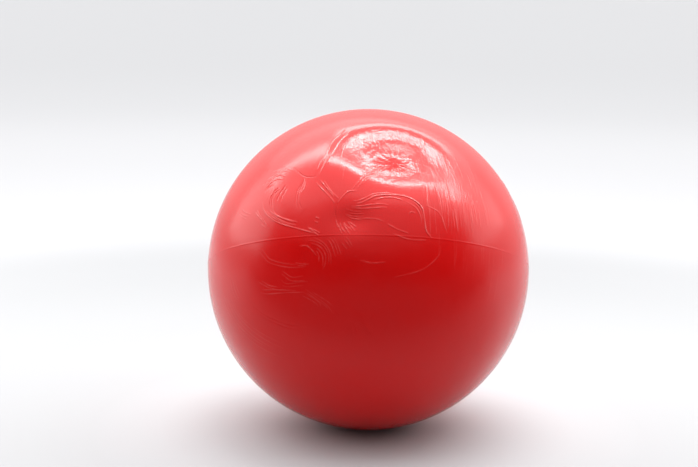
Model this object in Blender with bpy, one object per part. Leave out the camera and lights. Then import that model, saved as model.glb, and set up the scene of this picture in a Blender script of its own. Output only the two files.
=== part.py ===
"""A small inflatable massage ball: one hollow soft skin and a plug valve.

Run it with blender --background --python part.py, or from the text editor.
Lengths are metres and +Z is up. The origin is where the ball rests on a
surface. The skin and the valve are drawn about the mould's own axis, which
leans back from +Z, and an empty carries them all at that lean.
"""

from math import cos, pi, radians, sin, sqrt

import bmesh
import bpy
from mathutils import Matrix, Vector

# The ball
BALL_RADIUS = 0.0450
WALL = 0.0022
LINE_HEIGHT = 0.00015  # the raised parting line round the mould's equator
LINE_WIDTH = 0.00040
MOULD_LEAN = radians(22.0)  # the mould's axis leans this far from +Z, towards +Y
CONTACT_RADIUS = 0.0055  # the flat that the ball's weight presses into the soft skin

# The valve, at the mould's upper pole: heights are measured down from the pole
GAP = 0.0003  # between pieces that touch
SEAT_SINK = 0.0006  # the seat's face lies this far below the pole, level with the skin
FLANGE_RADIUS = 0.0068
FLANGE_THICK = 0.0024
SEAT_RADIUS = 0.0046
SEAT_LENGTH = 0.0150
SEAT_BORE = 0.0031
THROAT_RADIUS = 0.0013
THROAT_LENGTH = 0.0020
BOSS_RADIUS = 0.0082
BOSS_LENGTH = 0.0140
NOTCH_RADIUS = 0.0012  # the fingernail notch beside the plug's head
HEAD_RADIUS = 0.0047
HEAD_THICK = 0.0013
HEAD_RISE = 0.0004  # the crown of the head above its rim
SHANK_RADIUS = 0.0024
SHANK_LENGTH = 0.0105
RIB_RADIUS = SEAT_BORE - GAP
EDGE = 0.0003  # the chamfer on the valve's edges

# Facets
ROUND = 60  # round the skin
OUTER_STEPS = 30  # from pole to pole, outside
INNER_STEPS = 16  # from pole to pole, inside
VALVE_ROUND = 32

CENTRE_HEIGHT = sqrt(BALL_RADIUS**2 - CONTACT_RADIUS**2)
INNER_RADIUS = BALL_RADIUS - WALL


def clear_objects():
    for thing in list(bpy.data.objects):
        bpy.data.objects.remove(thing, do_unlink=True)


def plastic(name, colour, roughness):
    material = bpy.data.materials.new(name)
    material.use_nodes = True
    shader = material.node_tree.nodes["Principled BSDF"]
    shader.inputs["Base Color"].default_value = (*colour, 1.0)
    shader.inputs["Roughness"].default_value = roughness
    shader.inputs["Metallic"].default_value = 0.0
    return material


def turned(name, outline, closed, segments, material):
    """Spin (radius, height) points about Z; the outer side runs from top to bottom."""
    shape = bmesh.new()
    points = [shape.verts.new((radius, 0.0, height)) for radius, height in outline]
    edges = [shape.edges.new(pair) for pair in zip(points, points[1:])]
    if closed:
        edges.append(shape.edges.new((points[-1], points[0])))
    bmesh.ops.spin(
        shape,
        geom=points + edges,
        axis=(0.0, 0.0, 1.0),
        cent=(0.0, 0.0, 0.0),
        angle=2.0 * pi,
        steps=segments,
        use_merge=True,
    )
    bmesh.ops.remove_doubles(shape, verts=shape.verts, dist=1e-6)
    bmesh.ops.recalc_face_normals(shape, faces=shape.faces)
    mesh = bpy.data.meshes.new(name)
    shape.to_mesh(mesh)
    shape.free()
    mesh.shade_smooth()
    mesh.set_sharp_from_angle(angle=radians(35.0))
    mesh.materials.append(material)
    thing = bpy.data.objects.new(name, mesh)
    bpy.context.scene.collection.objects.link(thing)
    return thing


def cutter(name, shape):
    mesh = bpy.data.meshes.new(name)
    shape.to_mesh(mesh)
    shape.free()
    thing = bpy.data.objects.new(name, mesh)
    thing.hide_render = True
    thing.display_type = "WIRE"
    bpy.context.scene.collection.objects.link(thing)
    return thing


def cut(thing, tool):
    boolean = thing.modifiers.new(tool.name, "BOOLEAN")
    boolean.operation = "DIFFERENCE"
    boolean.solver = "EXACT"
    boolean.object = tool


def arc(radius, first, last, steps):
    """Points of a circle about the ball's centre; angles are from the upper pole."""
    for step in range(steps + 1):
        angle = first + (last - first) * step / steps
        yield radius * sin(angle), radius * cos(angle)


def height_on(radius, out):
    """The height of a sphere of this radius at the distance out from its axis."""
    return sqrt(radius**2 - out**2)


def skin_outline():
    """From the inner lower pole up the inside, through the valve's boss and down outside."""
    recess = FLANGE_RADIUS + GAP
    bore = SEAT_RADIUS + GAP
    shelf = BALL_RADIUS - SEAT_SINK - FLANGE_THICK - GAP
    boss_foot = height_on(INNER_RADIUS, BOSS_RADIUS + 2 * WALL)
    boss_angle = math_angle(BOSS_RADIUS + 2 * WALL, boss_foot)
    lip = height_on(BALL_RADIUS, recess)
    lip_angle = math_angle(recess, lip)
    half_line = 0.5 * LINE_WIDTH / BALL_RADIUS

    points = list(arc(INNER_RADIUS, pi, boss_angle, INNER_STEPS))
    points += [
        (BOSS_RADIUS + 0.5 * WALL, boss_foot - 0.5 * WALL),
        (BOSS_RADIUS, boss_foot - 2 * WALL),
        (BOSS_RADIUS, BALL_RADIUS - BOSS_LENGTH + EDGE),
        (BOSS_RADIUS - EDGE, BALL_RADIUS - BOSS_LENGTH),
        (bore, BALL_RADIUS - BOSS_LENGTH),
        (bore, shelf),
        (recess, shelf),
    ]
    upper = arc(BALL_RADIUS, lip_angle, 0.5 * pi - half_line, OUTER_STEPS // 2)
    lower = arc(BALL_RADIUS, 0.5 * pi + half_line, pi, OUTER_STEPS // 2)
    return [*points, *upper, (BALL_RADIUS + LINE_HEIGHT, 0.0), *lower]


def math_angle(out, up):
    """The angle from the upper pole to a point out from the axis and up from the centre."""
    return Vector((out, up)).angle(Vector((0.0, 1.0)))


def seat_outline():
    """A flanged sleeve, closed in towards its inner end; a loop, outer side first."""
    foot = -SEAT_LENGTH
    shelf = -FLANGE_THICK
    pocket = HEAD_RADIUS + GAP
    floor = -HEAD_THICK - GAP
    return [
        (FLANGE_RADIUS - EDGE, 0.0),
        (FLANGE_RADIUS, -EDGE),
        (FLANGE_RADIUS, shelf),
        (SEAT_RADIUS, shelf),
        (SEAT_RADIUS, foot + EDGE),
        (SEAT_RADIUS - EDGE, foot),
        (THROAT_RADIUS, foot),
        (THROAT_RADIUS, foot + THROAT_LENGTH),
        (SEAT_BORE, foot + THROAT_LENGTH + SEAT_BORE - THROAT_RADIUS),
        (SEAT_BORE, floor - EDGE),
        (SEAT_BORE + EDGE, floor),
        (pocket, floor),
        (pocket, -EDGE),
        (pocket + EDGE, 0.0),
    ]


def plug_outline():
    """A crowned head on a ribbed shank, from the crown down to the tip."""
    under = -HEAD_THICK
    tip = under - SHANK_LENGTH
    points = []
    for step in range(4):
        share = step / 4
        points.append((share * (HEAD_RADIUS - EDGE), HEAD_RISE * (1.0 - share**2)))
    points += [
        (HEAD_RADIUS - EDGE, 0.0),
        (HEAD_RADIUS, -EDGE),
        (HEAD_RADIUS, under + EDGE),
        (HEAD_RADIUS - EDGE, under),
        (SHANK_RADIUS, under),
    ]
    rib = RIB_RADIUS - SHANK_RADIUS
    for place in (0.35, 0.70):
        middle = under - place * SHANK_LENGTH
        points += [
            (SHANK_RADIUS, middle + 2 * rib),
            (RIB_RADIUS, middle),
            (SHANK_RADIUS, middle - rib),
        ]
    points += [
        (SHANK_RADIUS, tip + 0.4 * SHANK_RADIUS),
        (0.6 * SHANK_RADIUS, tip),
        (0.0, tip),
    ]
    return points


def contact_cutter():
    """The ground under the ball, which leaves the small flat that it rests on."""
    shape = bmesh.new()
    block = Matrix.Translation((0.0, 0.0, -BALL_RADIUS)) @ Matrix.Scale(2 * BALL_RADIUS, 4)
    bmesh.ops.create_cube(shape, size=1.0, matrix=block)
    return cutter("ground", shape)


def notch_cutter():
    """A short upright rod at the pocket's rim, on the side away from +Y."""
    shape = bmesh.new()
    bmesh.ops.create_cone(
        shape,
        cap_ends=True,
        segments=16,
        radius1=NOTCH_RADIUS,
        radius2=NOTCH_RADIUS,
        depth=2 * HEAD_THICK,
        matrix=Matrix.Translation((0.0, -HEAD_RADIUS, 0.0)),
    )
    return cutter("notch", shape)


def mould_frame():
    frame = bpy.data.objects.new("mould_frame", None)
    frame.location = (0.0, 0.0, CENTRE_HEIGHT)
    frame.rotation_euler = (-MOULD_LEAN, 0.0, 0.0)
    bpy.context.scene.collection.objects.link(frame)
    return frame


def build():
    clear_objects()
    red = plastic("soft_red", (0.55, 0.012, 0.012), 0.25)
    natural = plastic("soft_natural", (0.72, 0.68, 0.58), 0.35)
    white = plastic("soft_white", (0.80, 0.79, 0.76), 0.30)
    frame = mould_frame()

    shell = turned("shell", skin_outline(), False, ROUND, red)
    shell.parent = frame
    cut(shell, contact_cutter())

    seat = turned("valve_seat", seat_outline(), True, VALVE_ROUND, natural)
    seat.parent = frame
    seat.location = (0.0, 0.0, BALL_RADIUS - SEAT_SINK)
    notch = notch_cutter()
    notch.parent = seat
    cut(seat, notch)

    plug = turned("valve_plug", plug_outline(), False, VALVE_ROUND, white)
    plug.parent = frame
    plug.location = (0.0, 0.0, BALL_RADIUS - SEAT_SINK)


build()
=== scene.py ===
"""The looks of a small inflatable massage ball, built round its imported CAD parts.

The ball's own directions are longitude and latitude in degrees about the mould's
axis: latitude 0 is the parting line, longitude 0 faces -Y and longitude 90 faces +X.
Lengths are metres.
"""

from math import cos, pi, radians, sin, sqrt

import bmesh
import bpy
import numpy as np
from mathutils import Euler, Matrix, Vector
from mathutils.kdtree import KDTree


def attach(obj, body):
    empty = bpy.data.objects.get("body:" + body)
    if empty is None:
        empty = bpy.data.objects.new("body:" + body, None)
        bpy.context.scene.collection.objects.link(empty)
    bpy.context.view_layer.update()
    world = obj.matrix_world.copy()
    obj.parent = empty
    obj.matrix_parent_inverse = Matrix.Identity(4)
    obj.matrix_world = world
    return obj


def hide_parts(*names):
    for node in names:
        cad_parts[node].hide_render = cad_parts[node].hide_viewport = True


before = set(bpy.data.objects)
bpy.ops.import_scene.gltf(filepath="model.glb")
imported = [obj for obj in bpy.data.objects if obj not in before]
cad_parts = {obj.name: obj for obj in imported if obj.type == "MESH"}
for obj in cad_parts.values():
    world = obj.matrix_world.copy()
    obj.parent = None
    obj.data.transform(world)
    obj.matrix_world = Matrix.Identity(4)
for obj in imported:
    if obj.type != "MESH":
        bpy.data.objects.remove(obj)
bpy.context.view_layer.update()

# The ball and its valve, as the CAD has them
BALL_RADIUS = 0.0450
WALL = 0.0022
MOULD_LEAN = radians(22.0)
CONTACT_RADIUS = 0.0055
GAP = 0.0003
SEAT_SINK = 0.0006
FLANGE_RADIUS = 0.0068
FLANGE_THICK = 0.0024
SEAT_RADIUS = 0.0046
SEAT_LENGTH = 0.0150
SEAT_BORE = 0.0031
THROAT_RADIUS = 0.0013
THROAT_LENGTH = 0.0020
BOSS_RADIUS = 0.0082
BOSS_LENGTH = 0.0140
NOTCH_RADIUS = 0.0012
HEAD_RADIUS = 0.0047
HEAD_THICK = 0.0013
HEAD_RISE = 0.0004
SHANK_RADIUS = 0.0024
SHANK_LENGTH = 0.0105

CENTRE = Vector((0.0, 0.0, sqrt(BALL_RADIUS**2 - CONTACT_RADIUS**2)))
MOULD = Matrix.Translation(CENTRE) @ Matrix.Rotation(-MOULD_LEAN, 4, "X")

# The camera
LENS = 48.0  # mm, on a sensor 23.5 mm wide
SENSOR = 23.5
VIEW_DISTANCE = 0.4025  # from the ball's centre
VIEW_HEIGHT = radians(11.0)
VIEW_AIM_UP = radians(1.42)  # the picture's middle is this far above the ball's
VIEW_AIM_LEFT = radians(0.80)
VIEW_ROLL = radians(0.7)

# The room
FLOOR_SIZE = 80.0
FLOOR_LIT_TO = 0.02  # in reflections the floor's colour is painted darker, a painted shade, from this y
FLOOR_DIM_FROM = -0.11  # to this one, towards the viewer
DIFFUSE_FILL = 0.22  # the even light that the surroundings add for diffuse rays
BACKGROUND = (0.80, 0.80, 0.82)  # what the camera sees beyond the floor
STRIP_HEIGHT = 0.24

rng = np.random.default_rng(20)


# ---- Node helpers ----------------------------------------------------------------


class Nodes:
    """Short forms for building one material's nodes."""

    def __init__(self, name):
        self.material = bpy.data.materials.new(name)
        self.material.use_nodes = True
        self.tree = self.material.node_tree
        self.shader = self.tree.nodes["Principled BSDF"]

    @classmethod
    def world(cls, name):
        made = cls.__new__(cls)
        made.material = bpy.data.worlds.new(name)
        made.material.use_nodes = True
        made.tree = made.material.node_tree
        made.shader = made.tree.nodes["Background"]
        return made

    def ramp(self, value, stops):
        """Smooth steps through (value, level) stops, with values in rising order."""
        low, high = stops[0][0], stops[-1][0]
        share = self.new("MapRange", Value=value)
        self.set(share, "From Min", low)
        self.set(share, "From Max", high)
        curve = self.new("FloatCurve", Value=share.outputs[0])
        points = curve.mapping.curves[0].points
        peak = max(level for _, level in stops)
        for index, (place, level) in enumerate(stops):
            where = ((place - low) / (high - low), level / peak)
            if index in (0, len(stops) - 1):
                points[0 if index == 0 else -1].location = where
            else:
                points.new(*where)
        curve.mapping.update()
        return self.math("MULTIPLY", curve.outputs[0], peak)

    def grey(self, value):
        """A colour with the same value in each channel."""
        node = self.new("CombineColor")
        for channel in ("Red", "Green", "Blue"):
            self.set(node, channel, value)
        return node.outputs[0]

    def new(self, kind, **inputs):
        node = self.tree.nodes.new("ShaderNode" + kind)
        for name, value in inputs.items():
            self.set(node, name, value)
        return node

    def set(self, node, name, value):
        socket = node.inputs[name]
        if isinstance(value, bpy.types.NodeSocket):
            self.tree.links.new(value, socket)
        else:
            socket.default_value = value

    def mould_place(self):
        """The place in the ball's own directions, about its centre."""
        node = self.new("Mapping", Vector=self.new("TexCoord").outputs["Object"])
        node.vector_type = "TEXTURE"
        node.inputs["Location"].default_value = CENTRE
        node.inputs["Rotation"].default_value = (-MOULD_LEAN, 0.0, 0.0)
        return node.outputs[0]

    def math(self, operation, first, second=0.0, third=0.0):
        node = self.tree.nodes.new("ShaderNodeMath")
        node.operation = operation
        for index, value in enumerate((first, second, third)):
            self.set(node, index, value)
        return node.outputs[0]

    def noise(self, vector, scale, detail=3.0, rough=0.5):
        node = self.new("TexNoise", Vector=vector, Scale=scale, Detail=detail, Roughness=rough)
        return node.outputs["Fac"]

    def between(self, share, low, high):
        """A share of 0 to 1 mapped to low to high."""
        node = self.new("MapRange", Value=share)
        self.set(node, "To Min", low)
        self.set(node, "To Max", high)
        return node.outputs[0]

    def mix(self, share, first, second):
        node = self.tree.nodes.new("ShaderNodeMix")
        node.data_type = "RGBA"
        self.set(node, 0, share)
        self.set(node, 6, (*first, 1.0) if isinstance(first, tuple) else first)
        self.set(node, 7, (*second, 1.0) if isinstance(second, tuple) else second)
        return node.outputs[2]

    def near(self, place, spot, reach, inside, outside):
        """Goes from one value at a longitude, latitude spot to another at its reach."""
        gap = self.new("VectorMath", Vector=place)
        gap.operation = "DISTANCE"
        gap.inputs[1].default_value = on_ball(*spot) * BALL_RADIUS
        fade = self.new("MapRange", Value=gap.outputs["Value"])
        fade.interpolation_type = "SMOOTHSTEP"
        fade.inputs["From Min"].default_value = 0.5 * reach
        fade.inputs["From Max"].default_value = reach
        fade.inputs["To Min"].default_value = inside
        fade.inputs["To Max"].default_value = outside
        return fade.outputs["Result"]

    def bump(self, height, distance, normal=None):
        node = self.new("Bump", Height=height, Distance=distance, Strength=1.0)
        if normal is not None:
            self.set(node, "Normal", normal)
        return node.outputs[0]


# ---- Camera, floor and light -----------------------------------------------------


def make_camera():
    data = bpy.data.cameras.new("camera")
    data.lens = LENS
    data.sensor_width = SENSOR
    camera = bpy.data.objects.new("camera", data)
    back = Vector((0.0, -cos(VIEW_HEIGHT), sin(VIEW_HEIGHT)))
    aim = Euler((0.5 * pi - VIEW_HEIGHT + VIEW_AIM_UP, 0.0, VIEW_AIM_LEFT)).to_matrix()
    turn = aim @ Matrix.Rotation(VIEW_ROLL, 3, "Z")
    camera.matrix_world = Matrix.Translation(CENTRE + VIEW_DISTANCE * back) @ turn.to_4x4()
    bpy.context.scene.collection.objects.link(camera)
    bpy.context.scene.camera = camera


def area_light(name, size_x, size_y, place, radiance, target=CENTRE):
    data = bpy.data.lights.new(name, "AREA")
    data.shape = "RECTANGLE"
    data.size = size_x
    data.size_y = size_y
    data.energy = radiance * pi * size_x * size_y
    light = bpy.data.objects.new(name, data)
    light.location = place
    light.rotation_euler = (Vector(target) - Vector(place)).to_track_quat("-Z", "Y").to_euler()
    bpy.context.scene.collection.objects.link(light)


def make_world():
    """A dim room towards -Y and pale walls on the other sides, brighter behind and above."""
    n = Nodes.world("studio")
    direction = n.new("SeparateXYZ", Vector=n.new("TexCoord").outputs["Generated"])
    height = direction.outputs["Z"]
    behind_stops = [(-1.0, 0.01), (-0.45, 0.05), (0.0, 0.75), (0.55, 1.4), (1.0, 0.9)]
    behind = n.ramp(direction.outputs["Y"], behind_stops)
    low = n.ramp(height, [(0.0, 0.6), (0.45, 1.0), (0.80, 1.2), (1.0, 0.6)])
    above = n.ramp(height, [(0.33, 0.0), (0.63, 0.57), (1.0, 0.95)])
    room = n.math("MAXIMUM", n.math("MULTIPLY", behind, low), above)
    path = n.new("LightPath")
    room = n.math("ADD", room, n.math("MULTIPLY", path.outputs["Is Diffuse Ray"], DIFFUSE_FILL))
    seen = path.outputs["Is Camera Ray"]
    n.set(n.shader, "Color", n.mix(seen, n.grey(room), BACKGROUND))
    bpy.context.scene.world = n.material


def make_floor():
    """A wide pale floor, greyer near the ball than far off, with light painted into its colour:
    lighter right under the ball, a painted lift of its shadow, and brighter far away. Towards -Y
    it mirrors as the dim room in front, through a painted shade that darkens its colour in
    reflections only.
    """
    bpy.ops.mesh.primitive_plane_add(size=FLOOR_SIZE)
    floor = bpy.context.active_object
    floor.name = "floor"
    n = Nodes("pale_floor")
    where = n.new("TexCoord").outputs["Object"]
    away = n.new("VectorMath", Vector=where)
    away.operation = "LENGTH"
    # Painted light: the floor's colour goes by distance from the ball. It is lighter right under
    # the ball to lift its shadow, greyest about 0.1 m off, and brighter again from 0.4 m on. far
    # carries this painted share.
    near_painted_light_stops = [(0.0, 0.36), (0.03, 0.35), (0.07, 0.16), (0.10, 0.05), (0.15, 0.08)]
    far_painted_light_stops = [(0.25, 0.25), (0.40, 0.85), (0.60, 1.0), (1.20, 0.82), (2.50, 0.74)]
    far = n.ramp(away.outputs["Value"], near_painted_light_stops + far_painted_light_stops)
    place = n.new("SeparateXYZ", Vector=where)
    front = n.new("MapRange", Value=place.outputs["Y"])
    n.set(front, "From Min", FLOOR_LIT_TO)
    n.set(front, "From Max", FLOOR_DIM_FROM)
    # Painted shade: for glossy rays only, the floor's colour goes near black towards the viewer,
    # standing for the dim room in front.
    mirrored = n.new("LightPath").outputs["Is Glossy Ray"]
    dim = n.math("MULTIPLY", front.outputs[0], mirrored)
    pale = n.mix(far, (0.400, 0.405, 0.413), (0.79, 0.79, 0.81))
    n.set(n.shader, "Base Color", n.mix(dim, pale, (0.02, 0.02, 0.02)))
    n.shader.inputs["Roughness"].default_value = 0.7
    n.shader.inputs["Specular IOR Level"].default_value = 0.1
    floor.data.materials.append(n.material)


def ceiling_light(name, size_x, size_y, x, y, radiance, height=STRIP_HEIGHT):
    """A light that shines straight down."""
    area_light(name, size_x, size_y, (x, y, height), radiance, (x, y, 0.0))


def make_light():
    ceiling_light("strip_left", 0.18, 0.030, -0.15, 0.045, 9.0)
    ceiling_light("strip_middle", 0.11, 0.012, -0.005, 0.0, 30.0)
    ceiling_light("strip_right", 0.18, 0.012, 0.14, 0.0, 30.0)
    ceiling_light("strip_back", 0.18, 0.050, 0.04, 0.088, 5.0)
    area_light("side_left", 0.24, 0.18, (-0.30, 0.05, 0.18), 1.6)
    area_light("side_right", 0.24, 0.16, (0.30, 0.05, 0.20), 1.3)
    ceiling_light("soft_ceiling", 0.46, 0.34, 0.0, 0.05, 1.0, STRIP_HEIGHT + 0.005)


# ---- Creases in the skin ---------------------------------------------------------

SAMPLE = 0.00010  # spacing of the points that stand for a crease
HALF_WIDTH = 0.00026  # of a crease
TAPER = 0.25  # the share of a crease's length over which each end fades
UPPER_FOLDS = 1.9  # what the heights in FOLDS are multiplied by above the parting line
LOWER_FOLDS = 1.1  # and below it, where the folds are shallower
LINE_HALF_WIDTH = 0.00022  # of the parting line
LINE_HEIGHT = 0.000045
SPAN_STEPS = 40  # points on a curve from one knot to the next


def on_ball(longitude, latitude):
    lon, lat = radians(longitude), radians(latitude)
    return np.array((cos(lat) * sin(lon), -cos(lat) * cos(lon), sin(lat)))


def curve_through(points):
    """Evenly spaced unit vectors on a smooth curve through longitude, latitude points."""
    knots = [on_ball(*point) for point in points]
    knots = [2 * knots[0] - knots[1], *knots, 2 * knots[-1] - knots[-2]]
    fine = []
    for before, start, end, after in zip(knots, knots[1:], knots[2:], knots[3:]):
        for t in np.linspace(0.0, 1.0, SPAN_STEPS, endpoint=False):
            fine.append(
                0.5
                * (
                    2 * start
                    + (end - before) * t
                    + (2 * before - 5 * start + 4 * end - after) * t**2
                    + (3 * start - before - 3 * end + after) * t**3
                )
            )
    fine.append(knots[-2])
    fine = np.array(fine)
    fine /= np.linalg.norm(fine, axis=1)[:, None]
    run = np.concatenate(([0.0], np.cumsum(np.linalg.norm(np.diff(fine, axis=0), axis=1))))
    count = max(4, int(run[-1] * BALL_RADIUS / SAMPLE))
    at = np.linspace(0.0, run[-1], count)
    even = np.stack([np.interp(at, run, fine[:, axis]) for axis in range(3)], axis=1)
    return even / np.linalg.norm(even, axis=1)[:, None]


def beside(path, offset):
    """The path moved sideways by offset, in radians, which may vary along it."""
    ahead = np.gradient(path, axis=0)
    side = np.cross(path, ahead)
    side /= np.linalg.norm(side, axis=1)[:, None]
    moved = path + side * np.reshape(offset, (-1, 1))
    return moved / np.linalg.norm(moved, axis=1)[:, None]


class Creases:
    """The lines that stand out of the skin or are sunk in it, as points with heights."""

    def __init__(self):
        self.places = []
        self.heights = []
        self.lines = []

    def add(self, path, height):
        share = np.linspace(0.0, 1.0, len(path))
        ends = np.clip(np.minimum(share, 1.0 - share) / TAPER, 0.0, 1.0)
        swell = 1.0 + 0.3 * np.sin(rng.uniform(0, 6) + share * rng.uniform(5, 25))
        self.places.append(path * BALL_RADIUS)
        self.heights.append(height * np.sqrt(ends) * swell)
        self.lines.append(np.full(len(path), len(self.lines)))

    def family(self, points, height, copies, spread):
        """Side by side copies of one line, spread over so many degrees, with ragged ends."""
        path = curve_through(points)
        for copy in range(copies):
            offset = 0.0 if copies == 1 else spread * (copy / (copies - 1) - 0.5)
            wander = radians(0.25) * np.sin(
                rng.uniform(0, 6) + np.linspace(0, rng.uniform(2, 5), len(path))
            )
            line = beside(path, radians(offset) + (wander if copies > 1 else 0.4 * wander))
            if copies > 1:
                first = int(rng.uniform(0.0, 0.22) * len(line))
                last = int(rng.uniform(0.78, 1.0) * len(line))
                line = line[first : max(last, first + 4)]
            self.add(line, height * rng.uniform(0.7, 1.1))

    def tree(self):
        """Finds the points near a place."""
        places = np.concatenate(self.places)
        tree = KDTree(len(places))
        for index, place in enumerate(places):
            tree.insert(place, index)
        tree.balance()
        return tree


# Each fold of the skin: height in thousandths of a millimetre (negative is a groove) before
# UPPER_FOLDS or LOWER_FOLDS, how many lines lie side by side, the degrees they spread over,
# and the longitude, latitude points they pass.
FOLDS = [
    # The long fold up the left of the crown, and the corner it meets
    (75, 2, 1.8, [(-19, 21.5), (-16, 31), (-14.5, 37.5), (-12, 42), (-9, 47)]),
    (45, 2, 1.2, [(-18.5, 24), (-16.5, 30), (-15.5, 35)]),
    (-60, 1, 0, [(-19, 21.5), (-21.5, 21.5), (-24.5, 22.5), (-29.5, 26.5)]),
    (70, 2, 1.4, [(-19.5, 21.5), (-16, 17.5), (-13, 14), (-10.5, 10.5)]),
    (60, 1, 0, [(-16, 19.5), (-13.5, 16), (-10, 12.5)]),
    # The fold from the second corner up to the dimple
    (60, 1, 0, [(-10.5, 11), (-9, 13), (-7, 15), (-4, 15.5)]),
    (65, 2, 1.2, [(-6, 15), (-2.5, 20), (1.5, 24.5), (7, 29)]),
    (50, 1, 0, [(-2.5, 18), (1, 22), (5, 25.5)]),
    (-50, 1, 0, [(-10.5, 11), (-11, 8), (-10.5, 5)]),
    # The arch over the middle
    (60, 2, 0.9, [(-6, 11), (-3, 11.5), (1.5, 14), (5, 14.5), (8.5, 14.5)]),
    (55, 2, 1.0, [(-1, 12), (2.5, 13), (7.5, 13.5), (12, 12.5)]),
    (75, 1, 0, [(7, 14.5), (13.5, 13.5), (17.5, 10.5), (18.5, 6.5), (19, 2.5), (21, 0)]),
    (35, 2, 1.0, [(12, 13), (16, 10.5), (17.5, 7), (17.5, 4)]),
    (50, 2, 0.8, [(-6, 9.5), (-2, 9.5), (4.5, 10), (9, 9)]),
    (45, 1, 0, [(-6, 5.5), (-2, 5.8), (2, 5.5), (5, 4.5)]),
    (45, 1, 0, [(6, 4), (9.5, 2), (13, 1)]),
    (40, 1, 0, [(19.5, 11), (23, 9.5), (24.5, 7.5), (25.5, 4.5), (26.5, 2)]),
    (35, 1, 0, [(7.5, 0.7), (13, -0.8), (19, -0.9)]),
    (40, 1, 0, [(13, 7.5), (14, 8.3), (15.5, 8)]),
    # The fine fan above the parting line
    (55, 1, 0, [(-10.7, 5.5), (-10, 2.5)]),
    (50, 3, 2.2, [(-9.5, 4.5), (-8.5, 2.5), (-7, 0.5)]),
    (45, 4, 2.6, [(-8, 5), (-6.5, 3), (-4.5, 1)]),
    (25, 4, 2.4, [(-8, 8), (-5, 7), (-1, 6.5)]),
    # The left lobe: nested hooks that end on the parting line
    (75, 1, 0, [(-39.5, 14), (-38, 11), (-35, 8), (-31, 5.5), (-23, 2.5), (-16, 0.2)]),
    (50, 3, 1.4, [(-37, 11), (-34, 8.5), (-30, 6.2), (-24, 4)]),
    (60, 1, 0, [(-34.5, 12), (-33.5, 9.5), (-31, 7.5), (-25, 5)]),
    (-55, 2, 1.0, [(-35, 11.5), (-35.7, 14.5), (-35, 17), (-32.5, 19.5)]),
    (-50, 2, 1.2, [(-32.3, 12.5), (-32, 15.5), (-30.5, 19.5)]),
    (45, 3, 2.2, [(-41, 19.5), (-38.5, 22.5), (-35, 23.7), (-31.5, 22.5)]),
    (-40, 2, 1.0, [(-40, 17.5), (-38, 20), (-36, 21.2)]),
    (35, 2, 1.4, [(-39, 25), (-33, 26), (-28.5, 24)]),
    (-60, 2, 0.8, [(-24.5, 22.5), (-24, 20), (-25, 16), (-25, 13.5), (-24, 11), (-22, 7)]),
    (45, 1, 0, [(-23, 20), (-23, 17.5), (-24, 15.5)]),
    (55, 2, 0.9, [(-42, 11), (-40, 9), (-36.5, 6.3)]),
    (50, 2, 1.1, [(-38.5, 7), (-35.5, 4.5)]),
    (45, 3, 2.4, [(-51, 13), (-48.5, 11), (-44.5, 9.2)]),
    (75, 2, 0.6, [(-20.5, 3.2), (-18, 1.5), (-15.5, 0)]),
    (50, 2, 1.2, [(-18, 5.6), (-16, 5.2)]),
    # Below the parting line: the same folds run on and curl back
    (60, 1, 0, [(-23, -3), (-20.5, -3), (-19, -4), (-17, -6.5)]),
    (55, 2, 0.9, [(-17.5, -3.6), (-16, -5.5), (-15.5, -7), (-15.7, -10)]),
    (40, 3, 2.0, [(-22, -1), (-18, -1.5), (-15, -3.2), (-13.3, -6), (-13.3, -9), (-14.5, -12)]),
    (45, 3, 1.8, [(-13, -0.5), (-11.5, -2.5), (-10, -5.5), (-9, -8)]),
    (40, 3, 1.8, [(-8.5, -0.8), (-7, -2.8), (-5.5, -5)]),
    (
        45, 2, 1.0,
        [(-39, -2), (-36.5, -5), (-34.5, -7), (-30.5, -8.5), (-25.5, -9.5), (-19.5, -9.5)],
    ),
    (50, 2, 0.8, [(-25, -8.6), (-22, -9), (-19.5, -8.7)]),
    (45, 2, 1.2, [(-32, -9.5), (-29, -11.5), (-26, -13.3), (-20.5, -13.3)]),
    (30, 2, 1.2, [(-31, -13.5), (-28, -15.3), (-19.5, -15.3)]),
    (60, 2, 0.8, [(-41, -12), (-38, -14), (-35.5, -15.5), (-30.5, -16.6)]),
    (50, 2, 0.9, [(-42.5, -15), (-38.5, -16.5), (-34.5, -17), (-28, -17.4), (-21.5, -17.8)]),
    (45, 2, 1.2, [(-22.5, -18.3), (-20, -20), (-17.5, -22), (-16.5, -24.5)]),
    (30, 3, 2.0, [(-22, -17), (-19, -19), (-14, -22.5), (-12, -25.5)]),
    (-50, 2, 1.2, [(-46, -20.5), (-40.5, -24.5), (-35, -27), (-29.5, -29), (-24, -29.3)]),
    (
        28, 5, 6.0,
        [(-60.5, -11.5), (-59.5, -18), (-57, -24), (-52, -29.5), (-45.5, -34), (-37, -38)],
    ),
    (30, 3, 2.5, [(-54, -10), (-53.5, -14), (-51.5, -18)]),
    (45, 1, 0, [(-2.7, -8.3), (1, -9), (5.7, -8.5)]),
    (40, 1, 0, [(24, -2), (23.5, -5), (20.5, -8.5), (16.5, -11), (8.5, -13.5)]),
    (-25, 2, 1.5, [(-13.5, -22.5), (-10, -27)]),
    (-40, 2, 1.2, [(-6, -27.5), (-5, -31), (-4.5, -34)]),
    (-55, 1, 0, [(-2, -28), (0.5, -31), (2, -33)]),
]


def front_folds(creases):
    for height, copies, spread, points in FOLDS:
        share = LOWER_FOLDS if points[0][1] < 0.0 else UPPER_FOLDS
        creases.family(points, height * share * 1e-6, copies, spread)


def comb(creases, longitudes, latitudes, lengths, count, height):
    """Separate hairlines that run nearly up and down; latitudes are of their upper ends."""
    for _ in range(count):
        lon = rng.uniform(*longitudes)
        top = rng.uniform(*latitudes)
        length = rng.uniform(*lengths)
        drift = rng.uniform(-0.06, 0.06) * length
        middle = (lon + 0.5 * drift + rng.uniform(-0.3, 0.3), top - 0.5 * length)
        points = [(lon, top), middle, (lon + drift, top - length)]
        creases.add(curve_through(points), height * rng.uniform(0.5, 1.2))


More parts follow.
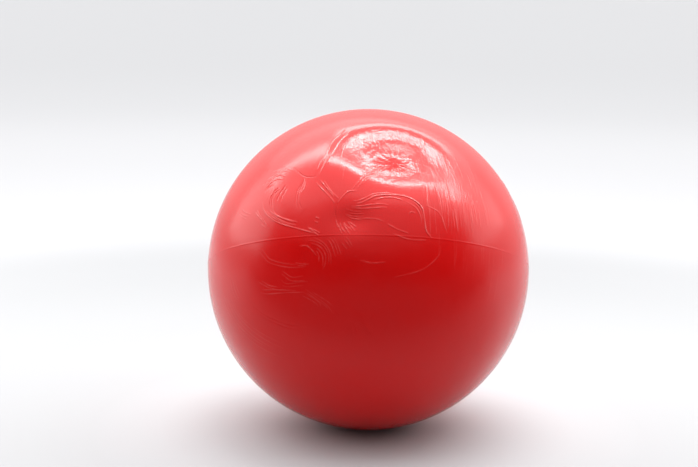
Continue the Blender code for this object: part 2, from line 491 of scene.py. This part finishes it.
def spokes(creases, middle, starts, lengths, count, height):
    """Hairlines that run outwards from a point, with a slight curl."""
    axis = Vector(on_ball(*middle))
    side = axis.cross(Vector(on_ball(middle[0], middle[1] + 1.0))).normalized()
    for index in range(count):
        turn = 2 * pi * (index + rng.uniform(-0.4, 0.4)) / count
        near = radians(rng.uniform(*starts))
        far = near + radians(rng.uniform(*lengths))
        curl = rng.uniform(-0.35, 0.35)
        path = []
        for share in np.linspace(0.0, 1.0, 60):
            reach = near + (far - near) * share
            away = Matrix.Rotation(turn + curl * share, 3, axis) @ side
            path.append(axis * cos(reach) + away * sin(reach))
        creases.add(np.array(path), height * rng.uniform(0.5, 1.2))


def hooks(creases, middle, radii, sweep, first_turn, count, height):
    """Nested arcs about a point, as on the left lobe."""
    axis = Vector(on_ball(*middle))
    side = axis.cross(Vector((0.0, 0.0, 1.0))).normalized()
    for index in range(count):
        reach = radians(radii[0] + (radii[1] - radii[0]) * (index + rng.uniform(0, 0.6)) / count)
        start = radians(first_turn + rng.uniform(-15, 15))
        angle = radians(sweep * rng.uniform(0.6, 1.1))
        path = []
        for share in np.linspace(0.0, 1.0, 160):
            wide = reach * (1.0 + 0.25 * share)
            away = Matrix.Rotation(start + angle * share, 3, axis) @ side
            path.append(axis * cos(wide) + away * sin(wide))
        creases.add(np.array(path), height * rng.uniform(0.5, 1.2))


# The middles of the lobes on the sides that face away from the front: longitude, latitude
HIDDEN_LOBES = [(95, 18), (150, 30), (-100, 22), (-150, 12), (178, -8), (115, -25), (-118, -28)]


def hidden_folds(creases):
    """The same kinds of fold as at the front."""
    for lon, lat in HIDDEN_LOBES:
        turn = rng.uniform(0, 360)
        hooks(creases, (lon, lat), (3.0, 14.0), 110.0, turn, 6, 50e-6)
        hooks(creases, (lon + 14, lat - 9), (2.0, 9.0), 80.0, turn + 160, 3, 45e-6)
        corner = (lon - 14, lat + 8)
        for arm in (rng.uniform(0, 60), rng.uniform(110, 170), rng.uniform(220, 300)):
            reach = rng.uniform(9, 16)
            bend = rng.uniform(-2, 2)
            middle = (
                corner[0] + 0.5 * reach * cos(radians(arm)) + bend,
                corner[1] + 0.5 * reach * sin(radians(arm)),
            )
            end = (corner[0] + reach * cos(radians(arm)), corner[1] + reach * sin(radians(arm)))
            creases.family([corner, middle, end], 65e-6, 2, 1.6)
    comb(creases, (60, 175), (10, 45), (5, 14), 26, 30e-6)
    comb(creases, (-170, -70), (0, 40), (5, 14), 22, 28e-6)


def make_creases():
    creases = Creases()
    front_folds(creases)
    comb(creases, (19, 46), (12, 34), (5, 14), 40, 42e-6)
    comb(creases, (24, 40), (8, 20), (6, 12), 14, 45e-6)
    comb(creases, (22, 60), (-2, 4), (6, 18), 16, 18e-6)
    comb(creases, (-12, 8), (26, 40), (3, 7), 18, 35e-6)
    comb(creases, (-12, 26), (37, 45), (2, 5), 26, 45e-6)
    spokes(creases, (10, 28.5), (0.8, 3.0), (3.0, 7.0), 26, 50e-6)
    spokes(creases, (8, 33), (3.0, 6.0), (2.0, 5.0), 20, 45e-6)
    hidden_folds(creases)
    return creases


# Broad swells and dips of the skin: longitude, latitude, half width and half height in
# degrees, rise in mm, and how sharply the edge falls (2 is soft, 4 is a wall)
FORMS = [
    (10, 33, 17.0, 12.0, -1.98, 4),
    (27, 28, 6.5, 8.0, -0.55, 2),
    (10, 19.5, 15.0, 7.0, -0.65, 2),
    (10, 32.5, 9.0, 6.5, 0.52, 2),
    (-5.5, 5.0, 6.0, 4.2, -0.72, 2),
    (-15, 27, 7.0, 6.0, 0.18, 2),
    (-27, 20, 7.5, 6.5, -0.34, 2),
    (13, 12, 6.0, 4.0, 0.08, 2),
    (-20, -2, 6.0, 4.0, 0.10, 2),
    (38, 18, 7.0, 8.0, -0.15, 2),
    (-28, -9, 8.0, 6.0, -0.12, 2),
    (150, 32, 10.0, 10.0, -0.70, 4),
    (-110, 10, 12.0, 9.0, -0.35, 2),
    (-135, 25, 8.0, 8.0, 0.20, 2),
    (170, -15, 12.0, 10.0, -0.30, 2),
    (100, 5, 12.0, 10.0, -0.25, 2),
    (120, 24, 8.0, 9.0, 0.20, 2),
]
# Where the mesh is finer for the steepest of them: longitude, latitude, degrees around
FINE_SPOTS = [(11, 33, 20.0), (-5.5, 5.0, 8.0)]
CROWN_HEIGHT = 0.00004  # the skin rises slightly to the parting line
CROWN_WIDTH = 0.0022
FAR_SIDE = 9.0  # half widths away, where a form has died out


def form_height(direction):
    """How far the skin stands out of a true sphere, before its creases."""
    height = 0.0
    for lon, lat, half_width, half_height, rise, power in FORMS:
        east = np.array((cos(radians(lon)), sin(radians(lon)), 0.0))
        centre = on_ball(lon, lat)
        across = direction @ east / sin(radians(half_width))
        upwards = direction @ np.cross(centre, east) / sin(radians(half_height))
        away = np.where(direction @ centre > 0.0, np.hypot(across, upwards), FAR_SIDE)
        height = height + rise * 1e-3 * np.exp(-(away**power))
    across = direction[:, 2] * BALL_RADIUS
    line = np.clip(1.0 - (across / LINE_HALF_WIDTH) ** 2, 0.0, 1.0) ** 1.5
    crown = np.exp(-((across / CROWN_WIDTH) ** 2))
    return height + LINE_HEIGHT * line + CROWN_HEIGHT * crown


# ---- Skin mesh -------------------------------------------------------------------

ROUND = 140  # steps round the skin
RINGS = 70  # from pole to pole, outside
INNER_RINGS = 16
MESH_STEPS = [  # up to this far from a crease, a mesh edge may be this long
    (0.00030, 0.00023),
    (0.00070, 0.00055),
    (0.00160, 0.00100),
]
WIDEST_EDGE = 1.0  # further off, edges are not split
FINE_SPOT_EDGE = 0.00080
BEHIND = 0.15 * BALL_RADIUS  # beyond this y, edges may be longer
BEHIND_SHARE = 2.2
MOST_SPLITS = 5
SPLIT_OVER = 1.25  # an edge is split when it is this much too long
SHARP_SKIN = radians(60.0)
SHARP_VALVE = radians(40.0)
CREASE_UNIT = 1e-4  # the height at which the crease attribute is 1
TROUGH = 1.8  # over 1, a ridge has a shallow trough on each side


def arc(radius, first, last, steps):
    for step in range(steps + 1):
        angle = first + (last - first) * step / steps
        yield radius * sin(angle), radius * cos(angle)


def fillet(centre, radius, first, last, steps=4):
    """Points of a small quarter round about a centre in the outline; angles in degrees."""
    for step in range(steps + 1):
        angle = radians(first + (last - first) * step / steps)
        yield centre[0] + radius * cos(angle), centre[1] + radius * sin(angle)


def spun(outline, segments, closed=False):
    """A surface of revolution about Z through radius, height points."""
    shape = bmesh.new()
    rings = []
    for radius, height in outline:
        if radius < 1e-7:
            rings.append([shape.verts.new((0.0, 0.0, height))])
            continue
        ring = []
        for index in range(segments):
            turn = 2 * pi * index / segments
            ring.append(shape.verts.new((radius * cos(turn), radius * sin(turn), height)))
        rings.append(ring)
    pairs = list(zip(rings, rings[1:]))
    if closed:
        pairs.append((rings[-1], rings[0]))
    for upper, lower in pairs:
        for index in range(segments):
            after = (index + 1) % segments
            corners = [
                upper[index % len(upper)],
                lower[index % len(lower)],
                lower[after % len(lower)],
                upper[after % len(upper)],
            ]
            kept = [v for n, v in enumerate(corners) if v not in corners[:n]]
            if len(kept) > 2:
                shape.faces.new(kept)
    bmesh.ops.recalc_face_normals(shape, faces=shape.faces)
    return shape


def skin_outline():
    """From the inner lower pole up the inside, through the valve's boss and down outside."""
    recess = FLANGE_RADIUS + GAP
    bore = SEAT_RADIUS + GAP
    shelf = BALL_RADIUS - SEAT_SINK - FLANGE_THICK - GAP
    inner = BALL_RADIUS - WALL
    root = BOSS_RADIUS + 2 * WALL
    root_height = sqrt(inner**2 - root**2)
    root_angle = Vector((root, root_height)).angle(Vector((0.0, 1.0)))
    boss_end = BALL_RADIUS - BOSS_LENGTH
    edge = 0.0005  # the chamfer on the boss's end
    lip = 0.0004  # the rounding of the recess's edge
    lip_out = recess + lip
    lip_height = sqrt(BALL_RADIUS**2 - lip_out**2)
    lip_angle = Vector((lip_out, lip_height)).angle(Vector((0.0, 1.0)))
    points = list(arc(inner, pi, root_angle, INNER_RINGS))
    points += [
        (BOSS_RADIUS + 0.5 * WALL, root_height - 0.4 * WALL),
        (BOSS_RADIUS, root_height - 1.6 * WALL),
        (BOSS_RADIUS, boss_end + edge),
        (BOSS_RADIUS - edge, boss_end),
        (bore, boss_end),
        (bore, shelf),
        (recess, shelf),
    ]
    points += list(fillet((lip_out, lip_height - lip), lip, 180.0, 90.0))[:-1]
    points += list(arc(BALL_RADIUS, lip_angle, pi, RINGS))
    return points


def wanted_edge(distance, points):
    """How long a mesh edge may be at these distances from a crease; longer behind."""
    within = [distance < limit for limit, _ in MESH_STEPS]
    wanted = np.select(within, [edge for _, edge in MESH_STEPS], WIDEST_EDGE)
    wanted *= np.where(points[..., 1] > BEHIND, BEHIND_SHARE, 1.0)
    for lon, lat, reach in FINE_SPOTS:
        inside = points @ on_ball(lon, lat) > cos(radians(reach)) * BALL_RADIUS
        wanted = np.where(inside, np.minimum(wanted, FINE_SPOT_EDGE), wanted)
    return wanted


def refine(points, faces, reach_of):
    """Splits the outer skin's triangles where creases need a finer mesh."""
    reach = reach_of(points)
    for _ in range(MOST_SPLITS):
        count = len(points)
        ends = np.sort(faces[:, [[0, 1], [1, 2], [2, 0]]], axis=2)
        first, last = ends[..., 0], ends[..., 1]
        length = np.linalg.norm(points[first] - points[last], axis=2)
        wanted = wanted_edge(np.minimum(reach[first], reach[last]), points[first])
        split = length > SPLIT_OVER * wanted
        split &= np.isfinite(reach[first]) & np.isfinite(reach[last])
        if not split.any():
            break
        keys, place = np.unique((first * count + last)[split], return_inverse=True)
        middles = points[keys // count] + points[keys % count]
        middles *= BALL_RADIUS / np.linalg.norm(middles, axis=1)[:, None]
        middle = np.zeros_like(faces)
        middle[split] = count + place.ravel()
        points = np.concatenate((points, middles))
        reach = np.concatenate((reach, reach_of(middles)))
        faces = split_faces(faces, middle, split)
    return points, faces


def split_faces(faces, middle, split):
    """Each triangle's one, two or three new points make it two, three or four triangles."""
    number = split.sum(axis=1)
    made = [faces[number == 0]]
    for turn in range(3):
        order = [turn, (turn + 1) % 3, (turn + 2) % 3]
        a, b, c = faces[:, order].T
        p, q, r = middle[:, order].T
        has_p, has_q, _ = split[:, order].T
        one = (number == 1) & has_p
        two = (number == 2) & has_p & has_q
        made.append(np.stack((a, p, c), axis=1)[one])
        made.append(np.stack((p, b, c), axis=1)[one])
        made.append(np.stack((p, b, q), axis=1)[two])
        made.append(np.stack((a, p, q), axis=1)[two])
        made.append(np.stack((a, q, c), axis=1)[two])
        if turn == 0:
            three = number == 3
            for corners in ((a, p, r), (p, b, q), (r, q, c), (p, q, r)):
                made.append(np.stack(corners, axis=1)[three])
    return np.concatenate(made)


def on_outer_skin(points):
    return np.abs(np.linalg.norm(points, axis=1) - BALL_RADIUS) < 1e-6


def make_skin(material):
    creases = make_creases()
    tree = creases.tree()
    heights = np.concatenate(creases.heights)
    lines = np.concatenate(creases.lines)

    def reach_of(places):
        """The distance to the nearest crease or the parting line; infinite off the skin."""
        reach = np.full(len(places), np.inf)
        for index in np.flatnonzero(on_outer_skin(places)):
            reach[index] = min(tree.find(places[index])[2], abs(places[index][2]))
        return reach

    def crease_at(place):
        """The heights of the crease lines at a place, each taken at its nearest point."""
        nearest = {}
        for _, index, distance in tree.find_range(place, HALF_WIDTH):
            line = lines[index]
            if line not in nearest or distance < nearest[line][0]:
                nearest[line] = (distance, index)
        total = 0.0
        for distance, index in nearest.values():
            share = min(1.0, distance / HALF_WIDTH)
            total += heights[index] * (1.0 - share**2) ** 2 * (1.0 - TROUGH * share**2)
        return total

    shape = spun(skin_outline(), ROUND)
    bmesh.ops.triangulate(shape, faces=shape.faces)
    points = np.array([vert.co for vert in shape.verts])
    faces = np.array([[vert.index for vert in face.verts] for face in shape.faces])
    shape.free()
    points, faces = refine(points, faces, reach_of)

    outside = on_outer_skin(points)
    directions = points[outside] / BALL_RADIUS
    crease = np.array([crease_at(place) for place in points[outside]])
    points[outside] += directions * (form_height(directions) + crease)[:, None]

    # What would lie below the ground is pressed flat against it
    ground = np.array(MOULD.inverted().translation)
    up = np.array(MOULD.inverted().to_3x3() @ Vector((0.0, 0.0, 1.0)))
    below = np.minimum((points - ground) @ up, 0.0)
    points -= below[:, None] * up

    mesh = bpy.data.meshes.new("ball_skin")
    mesh.from_pydata(points.tolist(), [], faces.tolist())
    mesh.transform(MOULD)
    amount = np.zeros(len(points))
    amount[outside] = crease / CREASE_UNIT
    mesh.attributes.new("crease", "FLOAT", "POINT").data.foreach_set("value", amount)
    mesh.shade_smooth()
    mesh.set_sharp_from_angle(angle=SHARP_SKIN)
    mesh.materials.append(material)
    skin = bpy.data.objects.new("ball_skin", mesh)
    bpy.context.scene.collection.objects.link(skin)
    return skin


# ---- Valve -----------------------------------------------------------------------

VALVE_ROUND = 96  # steps round the seat and the plug
NOTCH_ROUND = 48


def seat_outline():
    """A flanged sleeve, closed in towards its inner end; a loop, outer side first."""
    foot = -SEAT_LENGTH
    pocket = HEAD_RADIUS + GAP
    floor = -HEAD_THICK - GAP
    edge = 0.00035
    points = [
        (FLANGE_RADIUS, -FLANGE_THICK),
        (SEAT_RADIUS, -FLANGE_THICK),
        (SEAT_RADIUS, foot + edge),
    ]
    points += list(fillet((SEAT_RADIUS - edge, foot + edge), edge, 0.0, -90.0))[1:]
    points += [
        (THROAT_RADIUS, foot),
        (THROAT_RADIUS, foot + THROAT_LENGTH),
        (SEAT_BORE, foot + THROAT_LENGTH + SEAT_BORE - THROAT_RADIUS),
    ]
    points += list(fillet((SEAT_BORE + edge, floor - edge), edge, 180.0, 90.0))
    points += [(pocket, floor)]
    points += list(fillet((pocket + edge, -edge), edge, 180.0, 90.0))
    points += list(fillet((FLANGE_RADIUS - edge, -edge), edge, 90.0, 0.0))
    return points


def plug_outline():
    """A crowned head on a ribbed shank, from the crown down to the tip."""
    under = -HEAD_THICK
    tip = under - SHANK_LENGTH
    edge = 0.0004
    flat = HEAD_RADIUS - edge
    points = []
    for step in range(8):
        share = step / 8
        points.append((share * flat, HEAD_RISE * (1.0 - share**2)))
    points += list(fillet((flat, -edge), edge, 90.0, 0.0))
    points += list(fillet((flat, under + edge), edge, 0.0, -90.0))
    points += list(fillet((SHANK_RADIUS + edge, under - edge), edge, 90.0, 180.0))
    rib = SEAT_BORE - GAP - SHANK_RADIUS
    for place in (0.35, 0.70):
        middle = under - place * SHANK_LENGTH
        for step in range(7):
            share = step / 6
            points.append(
                (SHANK_RADIUS + rib * sin(pi * share) ** 2, middle + rib * (2 - 3 * share))
            )
    nose = 0.4 * SHANK_RADIUS
    points += list(fillet((SHANK_RADIUS - nose, tip + nose), nose, 0.0, -90.0, 6))
    points.append((0.0, tip))
    return points


def turned_piece(name, outline, closed, material):
    """A piece of the valve, turned about the mould's axis at the seat's face."""
    shape = spun(outline, VALVE_ROUND, closed)
    mesh = bpy.data.meshes.new(name)
    shape.to_mesh(mesh)
    shape.free()
    mesh.shade_smooth()
    mesh.set_sharp_from_angle(angle=SHARP_VALVE)
    mesh.materials.append(material)
    mesh.transform(MOULD @ Matrix.Translation((0.0, 0.0, BALL_RADIUS - SEAT_SINK)))
    piece = bpy.data.objects.new(name, mesh)
    bpy.context.scene.collection.objects.link(piece)
    return piece


def cut_notch(seat):
    """Cuts the fingernail notch beside the plug's head, on the side away from +Y."""
    shape = bmesh.new()
    place = MOULD @ Matrix.Translation((0.0, -HEAD_RADIUS, BALL_RADIUS - SEAT_SINK))
    bmesh.ops.create_cone(
        shape,
        cap_ends=True,
        segments=NOTCH_ROUND,
        radius1=NOTCH_RADIUS,
        radius2=NOTCH_RADIUS,
        depth=2 * HEAD_THICK,
        matrix=place,
    )
    rod_mesh = bpy.data.meshes.new("notch_rod")
    shape.to_mesh(rod_mesh)
    shape.free()
    rod = bpy.data.objects.new("notch_rod", rod_mesh)
    bpy.context.scene.collection.objects.link(rod)
    cut = seat.modifiers.new("notch", "BOOLEAN")
    cut.operation = "DIFFERENCE"
    cut.solver = "EXACT"
    cut.object = rod
    whole = seat.evaluated_get(bpy.context.evaluated_depsgraph_get())
    mesh = bpy.data.meshes.new_from_object(whole)
    mesh.set_sharp_from_angle(angle=SHARP_VALVE)
    seat.modifiers.clear()
    seat.data = mesh
    bpy.data.objects.remove(rod)


# ---- Materials -------------------------------------------------------------------


def skin_material():
    """Glossy red that is paler on the creases, a painted highlight along their ridges, with fine
    grain, fibres and a crumpled dimple.
    """
    n = Nodes("soft_red_skin")
    place = n.mould_place()
    cloud = n.noise(place, 55.0, 2.0)
    grain = n.noise(place, 2600.0, 3.0, 0.6)
    patch = n.noise(place, 240.0, 3.0)

    # The fibres run up and down the ball, so their noise is drawn out along z
    split = n.new("SeparateXYZ", Vector=place)
    x, y, z = (split.outputs[axis] for axis in "XYZ")
    longitude = n.math("ARCTAN2", x, n.math("MULTIPLY", y, -1.0))
    along = n.new("CombineXYZ")
    n.set(along, "X", n.math("MULTIPLY", longitude, BALL_RADIUS))
    n.set(along, "Y", n.math("MULTIPLY", z, 0.07))
    streaks = n.noise(along.outputs[0], 1900.0, 2.0, 0.55)

    crease = n.new("Attribute")
    crease.attribute_name = "crease"
    # Painted highlight: raised creases are coloured paler pink, standing for the light that their
    # ridges catch.
    ridge = n.math("MINIMUM", n.math("MULTIPLY", crease.outputs["Fac"], 0.5), 0.5)
    ridge = n.math("MAXIMUM", ridge, 0.0)
    red = n.mix(n.between(cloud, 0.2, 0.8), (0.63, 0.0012, 0.0008), (0.57, 0.0008, 0.0005))
    n.set(n.shader, "Base Color", n.mix(ridge, red, (0.76, 0.12, 0.11)))
    gloss = n.near(place, (8, 38), 0.020, 0.64, 1.0)
    n.set(n.shader, "Roughness", n.math("MULTIPLY", n.between(patch, 0.18, 0.26), gloss))
    fibres = n.math("MULTIPLY", streaks, n.near(place, (33, 20), 0.015, 6.5, 1.8))
    rucks = n.noise(place, 1000.0, 2.0, 0.5)
    rucks = n.math("MULTIPLY", rucks, n.near(place, (10, 34), 0.016, 1.0, 0.0))
    fine = n.bump(grain, 0.000006)
    fine = n.bump(rucks, 0.00008, fine)
    n.set(n.shader, "Normal", n.bump(fibres, 0.000010, fine))
    n.shader.inputs["IOR"].default_value = 1.5
    return n.material


def valve_material(name, colour, dark):
    n = Nodes(name)
    place = n.new("TexCoord").outputs["Object"]
    cloud = n.noise(place, 300.0, 3.0)
    grain = n.noise(place, 4000.0, 3.0, 0.6)
    n.set(n.shader, "Base Color", n.mix(cloud, colour, dark))
    n.set(n.shader, "Roughness", n.between(grain, 0.32, 0.46))
    n.set(n.shader, "Normal", n.bump(grain, 0.000008))
    return n.material


# ---- The scene -------------------------------------------------------------------

make_camera()
make_world()
make_floor()
make_light()
bpy.context.scene.view_settings.view_transform = "Standard"

skin = make_skin(skin_material())
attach(skin, "ball")
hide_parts("shell")

seat_stuff = valve_material("natural_seat", (0.34, 0.29, 0.21), (0.29, 0.245, 0.17))
seat = turned_piece("valve_seat_ring", seat_outline(), True, seat_stuff)
cut_notch(seat)
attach(seat, "ball")
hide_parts("valve_seat")

plug_stuff = valve_material("white_plug", (0.42, 0.41, 0.375), (0.37, 0.36, 0.325))
plug = turned_piece("valve_plug_body", plug_outline(), False, plug_stuff)
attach(plug, "plug")
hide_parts("valve_plug")
